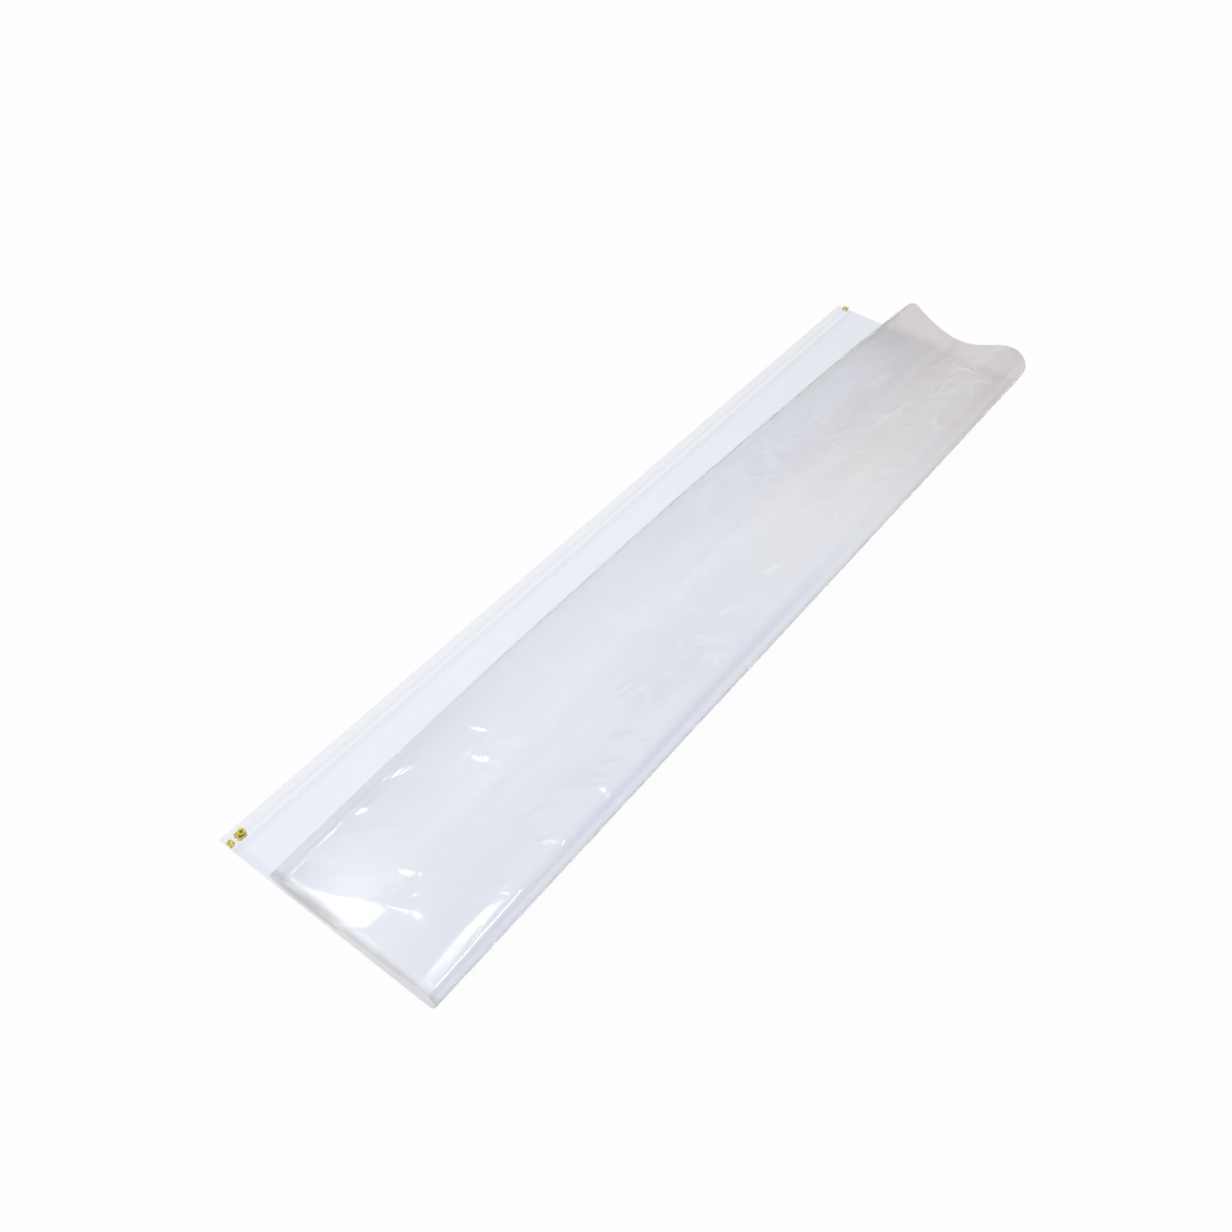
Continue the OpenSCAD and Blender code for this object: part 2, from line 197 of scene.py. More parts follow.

# %% [markdown]
# Film that has been handled is never smooth. It carries short sharp creases where it was pinched, which
# are what the light catches. They could be sculpted by hand or left to a cloth simulation, but a ridge
# along a short line is simple to compute and to place. Each one is placed by its distance from the
# near end and from the middle. A ridge also gives a pale line in the colour, partly the whitening of
# bent vinyl and partly a painted highlight along the crease.

# %% Large creases
PALE_WIDTH = 2.2
RIDGE_ROUND = 0.06
RUN_OUT = 0.03
CREASES = [
    # start (along, across), end (along, across), height, width, all in millimetres
    ((-6, 50), (46, -56), 2.0, 22),
    ((24, -14), (70, -46), 0.9, 9),
    ((58, 36), (92, 12), 0.7, 6),
    ((96, 14), (148, 18), 0.4, 8),
    ((150, 16), (188, 2), 1.0, 8),
    ((184, 8), (206, -6), 0.9, 7),
    ((200, 2), (236, -22), 1.0, 7),
    ((394, -84), (407, -108), 1.1, 4),
    ((158, -100), (171, -116), 0.9, 4),
    ((224, -98), (235, -115), 0.9, 4),
    ((282, -97), (292, -113), 0.9, 4),
    ((604, 24), (650, -4), 2.3, 8),
    ((640, 34), (690, 8), 2.7, 9),
    ((646, -6), (664, 32), 2.3, 7),
    ((684, 22), (724, -6), 2.6, 8),
    ((712, 12), (756, 20), 2.3, 8),
    ((520, -10), (572, -34), 1.0, 8),
    ((580, -40), (640, -58), 1.1, 9),
    ((770, -36), (842, -52), 1.3, 10),
    ((806, 4), (868, -10), 1.3, 10),
]


def ridge(along, across, start, end, height, width):
    """A crease: two flat slopes that meet in a slightly rounded ridge and run out at both ends. Also
    gives the pale line along the ridge, partly the whitening of bent film and partly a painted highlight."""
    run = np.array(end, float) - np.array(start, float)
    share = ((along - start[0]) * run[0] + (across - start[1]) * run[1]) / (run @ run)
    held = np.clip(share, 0, 1)
    off = np.hypot(along - start[0] - held * run[0], across - start[1] - held * run[1])
    fade = np.sqrt(np.sin(np.pi * np.clip(held, RUN_OUT, 1 - RUN_OUT)))
    slope = np.clip(1 - np.hypot(off, RIDGE_ROUND * width) / width, 0, None)
    line = np.clip(1 - off / PALE_WIDTH, 0, None)
    return height * slope * fade, min(height, 1) * line * fade


print("large creases:", len(CREASES))

# %% [markdown]
# Between the large creases lie many fine ones. They are too many to place by hand, so they are scattered
# by random numbers from a fixed seed, with more of them at the looser far end. Long soft swells lie
# under them all. Both plies follow the same relief, so they never pass through each other.

# %% Fine creases and swells
# where the fine creases lie, in millimetres and degrees: ranges are (low, high), and the turn is a mean
# and a spread; a gather below 1 brings more of them to the far end
CRINKLES = dict(count=150, seed=12, first=50, reach=890, gather=0.7, side=(-112, 44), turn=(-30, 38),
                half=(5, 22), height=(0.25, 0.9), width=(3.5, 7))
SWELLS = [
    # height, wave along, wave across, all in millimetres, and start in radians
    (0.5, 43, 61, 0.4),
    (0.35, 71, -37, 2.1),
    (0.18, 19, 23, 1.0),
]


def crinkles(count, seed, first, reach, gather, side, turn, half, height, width):
    """Short fine creases, scattered over the top with more of them towards the far end."""
    draw = np.random.default_rng(seed)
    along = first + reach * draw.random(count) ** gather
    across = draw.uniform(*side, count)
    turned_by = np.radians(draw.normal(*turn, count))
    reach_out = draw.uniform(*half, count)
    heights = draw.uniform(*height, count)
    widths = draw.uniform(*width, count)
    step_out = np.stack([reach_out * np.cos(turned_by), reach_out * np.sin(turned_by)], 1)
    middle = np.stack([along, across], 1)
    return list(zip(middle - step_out, middle + step_out, heights, widths))


def swell(along, across):
    """Long soft waves of the film: sine waves that run aslant to each other, added up."""
    return sum(height * np.sin(along / wave_along + across / wave_across + start)
               for height, wave_along, wave_across, start in SWELLS)


def relief(along, across):
    """Height of the film over its section, the swells and every crease added up, and its pale lines,
    partly whitening and partly painted highlight.
    """
    height = swell(along, across)
    whitening_and_highlight = np.zeros_like(height)
    for crease in ALL_CREASES:
        rise, line = ridge(along, across, *crease)
        height += rise
        whitening_and_highlight = np.maximum(whitening_and_highlight, line)
    return height, whitening_and_highlight


ALL_CREASES = CREASES + crinkles(**CRINKLES)
print("creases in all:", len(ALL_CREASES))

# %% [markdown]
# The finish follows the place on the film, so each point needs to know where it lies: how far round
# the outer fold, how far past the inner fold's crest and how far along. The inner fold also bows out
# towards the zip between the two ends, and the creases fade out on the floor and in the last turn.

# %% Places on the film
BOW = 11.5 * MM
CREASED_TURN = (-10, 105)
CREASED_CREST = (0.95, 0.2)


def smooth(x):
    """Soft step from 0 to 1: three squares less two cubes."""
    x = np.clip(x, 0, 1)
    return x * x * (3 - 2 * x)


def step(x, start, end):
    """Soft step that is 0 up to the start and 1 from the end on. With the end first it falls."""
    return smooth((x - start) / (end - start))


def bell(x):
    """A bump of height 1 at 0 that fades out over a few units."""
    return np.exp(-0.5 * x * x)


def turned(row):
    """Degrees round the outer fold: -90 on the floor, 0 at its outermost line and 90 on top."""
    return 90 * (row - LAST_ROW["floor_run"]) / (ROWS["fall"] - 1)


def past_crest(row):
    """The share of the way over the inner fold: 0 at its crest and 1 at its widest line."""
    return (row - LAST_ROW["top_run"]) / (ROWS["crest"] - 1)


def bow(share, row):
    """How far the inner fold bows out between the ends: a parabola along the sleeve, which grows from
    nothing at the outer fold to its full size at the crest."""
    top_start = LAST_ROW["floor_run"] + ROWS["fall"] - 1
    return BOW * 4 * share * (1 - share) * step(row, top_start, LAST_ROW["top_run"])


def relief_share(row):
    """Where creases show: not on the floor, less on the folds, and fully on the top."""
    return step(turned(row), *CREASED_TURN) * step(past_crest(row), *CREASED_CREST)


print("the inner fold bows out by", BOW, "m in the middle")

# %% [markdown]
# The film's tone changes from place to place. Most of these changes are painted shade, darker tints put
# into the film's colour; the end welds are partly darker of themselves. Each change of tone is a mark, a
# share from 0 to 1 at each point. It is kept as a mesh attribute that the finish reads, so it stays on the
# film when the film moves. On the floor the film has painted grey shade beside the roll and, less, under
# its near half, and painted deep shade where the back ply lies alone; in the end welds the deep tone is
# partly the weld and partly painted shade in the mouth of the roll. Ranges along the sleeve are shares of
# its length, ranges across it are metres, those round the outer fold are degrees, and a range that falls
# starts with its higher end.

# %% Painted shade on the floor run
FRONT_START_Y = 107.2 * MM
FAR_HALF = (0.45, 0.95)
WELD_FADE = (1.8 * WELD, WELD)
TONE_EDGE_NEAR = -12 * MM
TONE_EDGE_GROWTH = 60 * MM
TONE_EDGE_WIDTH = 25 * MM
FLOOR_RANGE = dict(beside=(-30 * MM, 60 * MM), rise=(-80, -40), under=(0.8, 0.45),
                   one_ply=(FRONT_START_Y, FRONT_START_Y + 2 * MM), weld_by_zip=(30 * MM, 70 * MM))
# shares of painted shade on the floor; the weld entries are partly the darker weld and partly painted
# shade in the roll's mouth
FLOOR_WELD_AND_PAINTED_SHADE = dict(under=0.3, under_right=0.45, rise=0.42, rise_deep=0.1, one_ply=0.12, one_ply_far=0.07,
                  weld=0.34, weld_by_zip=0.26, weld_far=0.7, far_deep=0.11)


def floor_marks(share, across, end_gap, round_fold):
    """Painted grey and deep shade shares on the floor run, the deep one partly the darker welds."""
    tone = FLOOR_WELD_AND_PAINTED_SHADE
    far = step(share, *FAR_HALF)
    beside = step(across, *FLOOR_RANGE["beside"])
    rise = step(round_fold, *FLOOR_RANGE["rise"])
    tone_edge = TONE_EDGE_NEAR + TONE_EDGE_GROWTH * share
    right_part = step(across, tone_edge, tone_edge - TONE_EDGE_WIDTH)
    under_roll = (tone["under"] + tone["under_right"] * right_part) * step(share, *FLOOR_RANGE["under"])
    one_ply = (tone["one_ply"] + tone["one_ply_far"] * far) * step(across, *FLOOR_RANGE["one_ply"])
    weld_depth = tone["weld"] - tone["weld_by_zip"] * step(across, *FLOOR_RANGE["weld_by_zip"])
    weld_depth = weld_depth * (1 - tone["weld_far"] * far)
    # grey is painted shade; deep is painted shade, and in the welds partly the weld's own darker tone
    painted_grey_shade = np.maximum(np.maximum(beside, under_roll), tone["rise"] * rise)
    deep = np.maximum(weld_depth * step(end_gap, *WELD_FADE), tone["rise_deep"] * rise)
    return painted_grey_shade, np.maximum(deep, tone["far_deep"] * far * beside + one_ply)


print("the back ply lies alone from y", FRONT_START_Y, "m to the zip edge")

# %% [markdown]
# On the top, painted grey shade darkens the film towards the far end, where it is looser and more layers
# cross.
# It also has a faint band of painted shade on the inner fold, a darker blue stripe of painted shade on the
# outer fold and deeper painted shade on that fold's side, and the last two fade to the far end. Ranges
# over the inner fold are shares past its crest.

# %% Painted shade on the top run
END_LINE = 3 * MM
SHADE_STRIPE_TURN = 55
SHADE_STRIPE_WIDTH = 18
TOP_RANGE = dict(last_turn=(0.85, 0.2), left_side=(-0.8, -0.1), left_end=(0.97, 0.82), band=(-0.2, 0.2),
                 band_near=(0.45, 0.0), right=(0, -40 * MM), base=(0.3, 0.7), loop=(100, 60),
                 far_end=(0.86, 0.98), side=(62, 22), side_near=(0.3, 0.0))
# shares of painted shade on the top, with a painted grey line at each end
TOP_PAINTED_SHADE = dict(band=0.22, base=0.104, right=0.14, far=0.7, loop=0.17, left=0.8, far_end=0.25,
                end_line=0.22, side=0.7, side_near=0.3)


def top_marks(share, across, end_gap, round_fold, over):
    """Painted grey and deep shade shares on the top run and the inner turn."""
    tone = TOP_PAINTED_SHADE
    far = step(share, *FAR_HALF)
    last_turn = step(over, *TOP_RANGE["last_turn"])
    left_side = step(over, *TOP_RANGE["left_side"]) * step(share, *TOP_RANGE["left_end"])
    band = tone["band"] * step(share, *TOP_RANGE["band_near"]) * step(over, *TOP_RANGE["band"])
    right_side = step(across, *TOP_RANGE["right"]) * (1 - far)
    base = np.maximum(tone["base"] * step(share, *TOP_RANGE["base"]), tone["right"] * right_side)
    to_far = far * (tone["far"] + tone["loop"] * step(round_fold, *TOP_RANGE["loop"]))
    to_far = to_far * (1 - tone["left"] * left_side)
    to_far = to_far * (1 + tone["far_end"] * step(share, *TOP_RANGE["far_end"]))
    painted_grey_shade = 1 - (1 - base * last_turn) * (1 - np.maximum(to_far, band) * last_turn)
    # a darker blue stripe of painted shade along the outer fold, and deeper painted shade on its side
    painted_shade_stripe = (1 - far) ** 2 * bell((round_fold - SHADE_STRIPE_TURN) / SHADE_STRIPE_WIDTH)
    side_depth = (tone["side"] + tone["side_near"] * step(share, *TOP_RANGE["side_near"])) * (1 - far)
    deep = np.maximum(painted_shade_stripe, side_depth * step(round_fold, *TOP_RANGE["side"]))
    return np.maximum(painted_grey_shade, tone["end_line"] * bell(end_gap / END_LINE)), deep


print("the stripe lies", SHADE_STRIPE_TURN, "degrees round the outer fold")

# %% [markdown]
# The run that is tucked inside has painted grey shade where it leaves the inner fold, and it clears to its
# free edge.
# The other marks are the same for all runs: the end welds are pressed flat, the fine waves are calm
# where the film is held tight in a fold, and the gloss fades on the inner fold's last turn.

# %% All marks of a ply
TUCKED_TONE = dict(weld=0.75, weld_far=0.6)
WELD_PRESSED = (1.1 * WELD, 0.8 * WELD)
FOLD_CALM = 48
CREST_CALM = 0.75
CALM_MOST = 0.95
GLOSS_FADE = (0.15, 0.75)
GLOSS_LOSS = 0.9


def tucked_marks(row, share, end_gap):
    """Painted grey shade share and darker weld share on the tucked run."""
    to_free_edge = (row - LAST_ROW["inner_turn"]) / PIECE_ROWS["tucked_run"]
    weld_depth = TUCKED_TONE["weld"] - TUCKED_TONE["weld_far"] * step(share, *FAR_HALF)
    # the grey share is painted shade inside the fold; the deep share is the welds' own darker tone
    return 1 - smooth(to_free_edge), weld_depth * step(end_gap, *WELD_FADE)


def film_marks(row, along, across, end_gap):
    """All marks of a ply, with the painted grey shade and the deep share from the run that each row lies
    on.
    """
    share = along / SLEEVE_LENGTH
    round_fold, over = turned(row), past_crest(row)
    on_floor = row <= LAST_ROW["floor_run"]
    on_tucked = row > LAST_ROW["inner_turn"]
    floor = floor_marks(share, across, end_gap, round_fold)
    tucked = tucked_marks(row, share, end_gap)
    top = top_marks(share, across, end_gap, round_fold, over)
    # grey is painted shade, and deep is painted shade and partly the darker welds
    painted_grey_shade, deep = [np.where(on_floor, a, np.where(on_tucked, b, c)) for a, b, c in zip(floor, tucked, top)]
    calm = np.clip(bell(round_fold / FOLD_CALM) + bell((over - 1) / CREST_CALM), 0, CALM_MOST)
    gloss = 1 - GLOSS_LOSS * step(over, *GLOSS_FADE)
    return dict(
        weld=step(end_gap, *WELD_PRESSED),
        painted_grey_shade=painted_grey_shade,
        deep=deep,
        loose=np.broadcast_to(1 - calm, along.shape),
        gloss=np.broadcast_to(gloss, along.shape),
    )


print("welds are pressed over", round(WELD_PRESSED[1], 4), "m at each end")

# %% [markdown]
# Each ply is one surface over two parameters, the distance along the sleeve and the row of the
# section. The ply lies a little to one side of the section's middle line, and at both ends and the
# bottom the two plies come together in the welds. Its normals are worked out over the whole surface
# before it is cut into pieces, so that no cut shows.

# %% A ply as one surface
STEPS_ALONG = 430
PALE_SHARE = 0.6
WELDED_OFFSET = 0.54 * FILM


def surface_normals(points):
    """Cross product of the two directions of the grid, made unit length."""
    n = np.cross(np.gradient(points, axis=0), np.gradient(points, axis=1))
    return n / np.linalg.norm(n, axis=2, keepdims=True)


def ply_surface(start_y, side):
    """Loft from the near to the far section, raised by the relief and set off to the ply's side."""
    x = np.linspace(-SLEEVE_LENGTH / 2, SLEEVE_LENGTH / 2, STEPS_ALONG)
    near, far = section(NEAR, start_y), section(FAR, start_y)
    share = ((x + SLEEVE_LENGTH / 2) / SLEEVE_LENGTH)[:, None, None]
    flat = near[None] * (1 - share) + far[None] * share
    flat[..., 0] += bow(share[..., 0], np.arange(len(near))[None])
    points = np.concatenate([np.broadcast_to(x[:, None, None], flat.shape[:2] + (1,)), flat], 2)
    normals = surface_normals(points)
    along = (points[..., 0] + SLEEVE_LENGTH / 2) / MM
    row = np.arange(points.shape[1])[None]
    creased = np.flatnonzero(relief_share(row[0]) > 0)
    shaped = np.s_[:, creased[0]:creased[-1] + 1]
    height, whitening_and_highlight = np.zeros(along.shape), np.zeros(along.shape)
    height[shaped], whitening_and_highlight[shaped] = relief(along[shaped], points[shaped][..., 1] / MM)
    height = height * relief_share(row) * MM
    end_gap = np.minimum(along, SLEEVE_LENGTH / MM - along) * MM
    run = np.linalg.norm(np.diff(points, axis=1), axis=2)
    to_bottom = np.concatenate([np.cumsum(run[:, ::-1], 1)[:, ::-1], np.zeros((len(x), 1))], 1)
    open_share = smooth((end_gap - WELD / 2) / WELD) * smooth((to_bottom - WELD / 2) / WELD)
    offset = side * (WELDED_OFFSET + (PLY_MIDDLE - WELDED_OFFSET) * open_share)
    middle = points + normals * (height + offset)[..., None]
    marks = film_marks(row, along * MM, points[..., 1], end_gap)
    # the pale line is partly the whitening of bent film and partly painted highlight
    marks["whitening_and_highlight"] = PALE_SHARE * whitening_and_highlight * relief_share(row)
    return middle, surface_normals(middle), marks


print("each ply is a grid of", STEPS_ALONG, "by", LAST_ROW["tucked_run"] + 1, "points")

# %% [markdown]
# A piece of film is a closed shell: its middle surface moved out and in by half the film's thickness,
# with a rim round its edges. A Solidify modifier could do that too, but here the shell has to keep the
# normals of the whole ply, so it is built face by face.

# %% Closed shells of film
def grid_faces(rows_x, rows_s, first=0):
    """Quads of a grid, numbered row by row."""
    i, j = np.meshgrid(np.arange(rows_x - 1), np.arange(rows_s - 1), indexing="ij")
    a = (first + i * rows_s + j).ravel()
    return np.stack([a, a + rows_s, a + rows_s + 1, a + 1], 1)


def rim_faces(rows_x, rows_s):
    """Quads that close the four edges between the outer and the inner grid."""
    count = rows_x * rows_s
    i, j = np.arange(rows_x - 1), np.arange(rows_s - 1)
    edges = [
        (i * rows_s, (i + 1) * rows_s),
        ((i + 1) * rows_s + rows_s - 1, i * rows_s + rows_s - 1),
        (j + 1, j),
        ((rows_x - 1) * rows_s + j, (rows_x - 1) * rows_s + j + 1),
    ]
    return [np.stack([b, a, a + count, b + count], 1) for a, b in edges]


def film_piece(name, middle, normals, marks):
    """Closed shell: the middle surface moved out and in by half the film, and joined round its rim."""
    rows_x, rows_s = middle.shape[:2]
    outer = middle + normals * FILM / 2
    inner = middle - normals * FILM / 2
    vertices = np.concatenate([outer.reshape(-1, 3), inner.reshape(-1, 3)])
    out_faces = grid_faces(rows_x, rows_s)
    in_faces = grid_faces(rows_x, rows_s, rows_x * rows_s)[:, ::-1]
    rims = np.concatenate(rim_faces(rows_x, rows_s))
    flat_normals = np.concatenate([normals.reshape(-1, 3), -normals.reshape(-1, 3)])
    corner = vertices[rims]
    rim_normal = np.cross(corner[:, 1] - corner[:, 0], corner[:, 3] - corner[:, 0])
    rim_normal /= np.linalg.norm(rim_normal, axis=1, keepdims=True)
    loop_normals = np.concatenate([flat_normals[out_faces].reshape(-1, 3),
                                   flat_normals[in_faces].reshape(-1, 3),
                                   np.repeat(rim_normal, 4, axis=0)])
    faces = np.concatenate([out_faces, in_faces, rims])
    mesh = bpy.data.meshes.new(name)
    mesh.from_pydata(vertices.tolist(), [], faces.tolist())
    mesh.shade_smooth()
    mesh.normals_split_custom_set(loop_normals.tolist())
    for mark, values in marks.items():
        layer = mesh.attributes.new(mark, "FLOAT", "POINT")
        layer.data.foreach_set("value", np.tile(values.ravel(), 2).astype(np.float32))
    piece = bpy.data.objects.new(name, mesh)
    bpy.context.scene.collection.objects.link(piece)
    return piece


print("the film is", FILM, "m thick")

# %% [markdown]
# Each ply is cut into four pieces: the run on the floor, the run over the top, the inner turn and the run
# tucked inside. They are the stretches that lie still or bend at one fold line, and each stands for
# one or two solids of the imported model.

# %% Cutting the plies into pieces
SOLIDS = dict(floor_run=["lower"], top_run=["outer_fold", "upper"], inner_turn=["inner_fold"],
              tucked_run=["inner"])
PLIES = dict(back=(ZIP_EDGE_Y, 1), front=(FRONT_START_Y, -1))
film = {}
for ply, (start_y, side) in PLIES.items():
    middle, normals, marks = ply_surface(start_y, side)
    for name, last in LAST_ROW.items():
        part = np.s_[:, last - PIECE_ROWS[name]:last + 1]
        piece = film_piece(f"{ply}_{name}", middle[part], normals[part],
                           {mark: values[part] for mark, values in marks.items()})
        film[ply, name] = piece
        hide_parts(*[f"{ply}_panel_{solid}" for solid in SOLIDS[name]])

# %% [markdown]
# The sleeve unrolls at four fold lines, and a piece of film lies across each of them. The cuts between the
# pieces lie where the film rides on one body alone. The outer fold bends near its outermost line, and the
# inner fold near its widest line. Each piece has its place baked into its mesh.


for (ply, name), piece in film.items():
    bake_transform(piece)
print("film pieces that bend:", len(film))

# %% [markdown]
# The zip is two extruded vinyl rails that snap together: each has a flange, a neck and half of a
# mushroom head. An extrusion is a profile carried along a straight path, so each rail is a rounded
# outline repeated along the sleeve and closed at its ends. A hair's gap keeps it off the film.

# %% The zip's two rails
ZIP_Y = 112 * MM
FLANGE_BOTTOM = 0.34 * MM
FLANGE_TOP = 0.86 * MM
HEAD_BOTTOM = 2.6 * MM
HEAD_TOP = 3.5 * MM
NECK_HALF = 1.2 * MM
HEAD_HALF = 2.2 * MM
RAIL_GAP = 0.06 * MM
RAIL_END = 0.2 * MM
RAIL_ROUND = 0.35 * MM
RAIL_STEPS = 60
OUTER_FLANGE = 11.7 * MM
INNER_FLANGE = 10.2 * MM
EDGE_PARTS = 2.2


def round_corners(outline, radius, steps=4):
    """Outline with each corner cut by a quadratic curve that starts and ends a radius away from it, or
    just short of the middle of an edge."""
    points = np.array(outline, float)
    before, after = np.roll(points, 1, 0) - points, np.roll(points, -1, 0) - points
    reach = [np.minimum(radius, np.linalg.norm(v, axis=1) / EDGE_PARTS)[:, None]
             for v in (before, after)]
    first = points + before / np.linalg.norm(before, axis=1)[:, None] * reach[0]
    last = points + after / np.linalg.norm(after, axis=1)[:, None] * reach[1]
    t = np.linspace(0, 1, steps)[None, :, None]
    curve = (1 - t) ** 2 * first[:, None] + 2 * t * (1 - t) * points[:, None] + t**2 * last[:, None]
    return curve.reshape(-1, 2)


def rail_outline(side, flange_y):
    """Half of the rail: flange, neck and half of the head, mirrored to the side it lies on."""
    outline = [(RAIL_GAP, FLANGE_BOTTOM), (flange_y, FLANGE_BOTTOM), (flange_y, FLANGE_TOP),
               (NECK_HALF, FLANGE_TOP), (NECK_HALF, HEAD_BOTTOM), (HEAD_HALF, HEAD_BOTTOM),
               (HEAD_HALF, HEAD_TOP), (RAIL_GAP, HEAD_TOP)]
    rounded = round_corners(outline, RAIL_ROUND)
    rounded[:, 0] = ZIP_Y + side * rounded[:, 0]
    return rounded if side > 0 else rounded[::-1]


def extrusion(name, outline, x):
    """Closed outline repeated at each x, with a face at both ends."""
    count, steps = len(outline), len(x)
    points = np.empty((steps, count, 3))
    points[..., 0] = x[:, None]
    points[..., 1:] = outline[None]
    i, j = np.meshgrid(np.arange(steps - 1), np.arange(count), indexing="ij")
    here, there = i * count + j, i * count + (j + 1) % count
    sides = np.stack([there, there + count, here + count, here], -1).reshape(-1, 4)
    ends = [list(range(count))[::-1], list(range((steps - 1) * count, steps * count))]
    mesh = bpy.data.meshes.new(name)
    mesh.from_pydata(points.reshape(-1, 3).tolist(), [], sides.tolist() + ends)
    piece = bpy.data.objects.new(name, mesh)
    bpy.context.scene.collection.objects.link(piece)
    return piece


rail_x = np.linspace(-SLEEVE_LENGTH / 2 + RAIL_END, SLEEVE_LENGTH / 2 - RAIL_END, RAIL_STEPS)
zip_rails = dict(
    zip_outer_track=extrusion("zip_outer_rail", rail_outline(1, OUTER_FLANGE), rail_x),
    zip_inner_track=extrusion("zip_inner_rail", rail_outline(-1, INNER_FLANGE), rail_x),
)
for node, piece in zip_rails.items():
    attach(piece, "lower")
    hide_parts(node)
    print(piece.name, len(piece.data.polygons), "faces")

# %% [markdown]
# A finish in Blender is a tree of nodes. A few helpers keep the trees short to write: one adds a node
# with its inputs set, and the others give the output of a node that reads an attribute, blends two
# colours, does arithmetic, carries over a range or follows a row of colours.

# %% Helpers for node trees
def principled(name):
    """A new material and its Principled shader."""
    material = bpy.data.materials.new(name)
    material.use_nodes = True
    return material, material.node_tree, material.node_tree.nodes["Principled BSDF"]


def add(tree, kind, **inputs):
    """A node of a kind, with some of its inputs set by name."""
    node = tree.nodes.new(kind)
    for key, value in inputs.items():
        node.inputs[key.replace("_", " ")].default_value = value
    return node


def attribute(tree, name):
    """The share that a mesh attribute gives at each point."""
    node = tree.nodes.new("ShaderNodeAttribute")
    node.attribute_name = name
    return node.outputs["Fac"]


def tint_between(tree, share, first, second):
    """A colour that goes from the first to the second, each a colour or another node's output."""
    mix = tree.nodes.new("ShaderNodeMix")
    mix.data_type = "RGBA"
    tree.links.new(share, mix.inputs["Factor"])
    for socket, colour in zip(("A", "B"), (first, second)):
        if isinstance(colour, tuple):
            mix.inputs[socket].default_value = (*colour, 1)
        else:
            tree.links.new(colour, mix.inputs[socket])
    return mix.outputs["Result"]


def arithmetic(tree, operation, first, second):
    """A Math node on two values, each a number or another node's output."""
    node = tree.nodes.new("ShaderNodeMath")
    node.operation = operation
    for socket, value in zip(node.inputs, (first, second)):
        if isinstance(value, (int, float)):
            socket.default_value = value
        else:
            tree.links.new(value, socket)
    return node.outputs[0]


def mapped(tree, value, source=(0, 1), target=(0, 1)):
    """A value carried over from one range to another, and held at the ends."""
    node = add(tree, "ShaderNodeMapRange", From_Min=source[0], From_Max=source[1], To_Min=target[0],
               To_Max=target[1])
    tree.links.new(value, node.inputs["Value"])
    return node.outputs["Result"]


def ramp(tree, value, stops):
    """A colour that follows a value through a row of stops."""
    node = tree.nodes.new("ShaderNodeValToRGB")
    elements = node.color_ramp.elements
    for position, _ in stops[2:]:
        elements.new(position)
    for element, (position, colour) in zip(elements, stops):
        element.position = position
        element.color = (*colour, 1)
    tree.links.new(value, node.inputs["Fac"])
    return node.outputs["Color"]


print("helpers:", [helper.__name__ for helper in (add, attribute, tint_between, arithmetic, mapped, ramp)])

# %% [markdown]
# Clear vinyl is seen by what it mirrors and by how much light each layer turns back. Glass with the
# refraction of vinyl would be too heavy where four layers lie over each other. So the base hardly bends
# the light, and a thin coat on top does the mirroring. Fine waves and small facets in a Bump node
# break up the mirror images. The welds are pressed, so they are rougher.

# %% The film's finish
# tint of the pale crease lines, partly whitening of bent vinyl and partly painted highlight
WHITENING_AND_HIGHLIGHT_TINT = (0.985, 0.985, 0.99)
COAT_ROUGHNESS = 0.03
COAT_IOR = 1.36
OPEN_TO_WELD_ROUGHNESS = (0.3, 0.42)
WAVES = dict(Scale=26.0, Detail=2.0, Roughness=0.45)
WAVE_MIDDLE = 0.5
FACET_SCALE = 36.0
FACET_SHARE = 8.5
BUMP = dict(Strength=0.3, Distance=0.001)


def film_bump(tree):
    """Fine waves with small facets on them, calm where the film is held in a fold."""
    place = tree.nodes.new("ShaderNodeTexCoord").outputs["Object"]
    waves = add(tree, "ShaderNodeTexNoise", **WAVES)
    facets = add(tree, "ShaderNodeTexVoronoi", Scale=FACET_SCALE)
    facets.feature = "DISTANCE_TO_EDGE"
    for texture in (waves, facets):
        tree.links.new(place, texture.inputs["Vector"])
    wave = arithmetic(tree, "SUBTRACT", waves.outputs["Fac"], WAVE_MIDDLE)
    facet = arithmetic(tree, "MULTIPLY", facets.outputs["Distance"], FACET_SHARE)
    waved = arithmetic(tree, "ADD", wave, facet)
    bump = add(tree, "ShaderNodeBump", **BUMP)
    tree.links.new(arithmetic(tree, "MULTIPLY", waved, attribute(tree, "loose")), bump.inputs["Height"])
    return bump.outputs["Normal"]


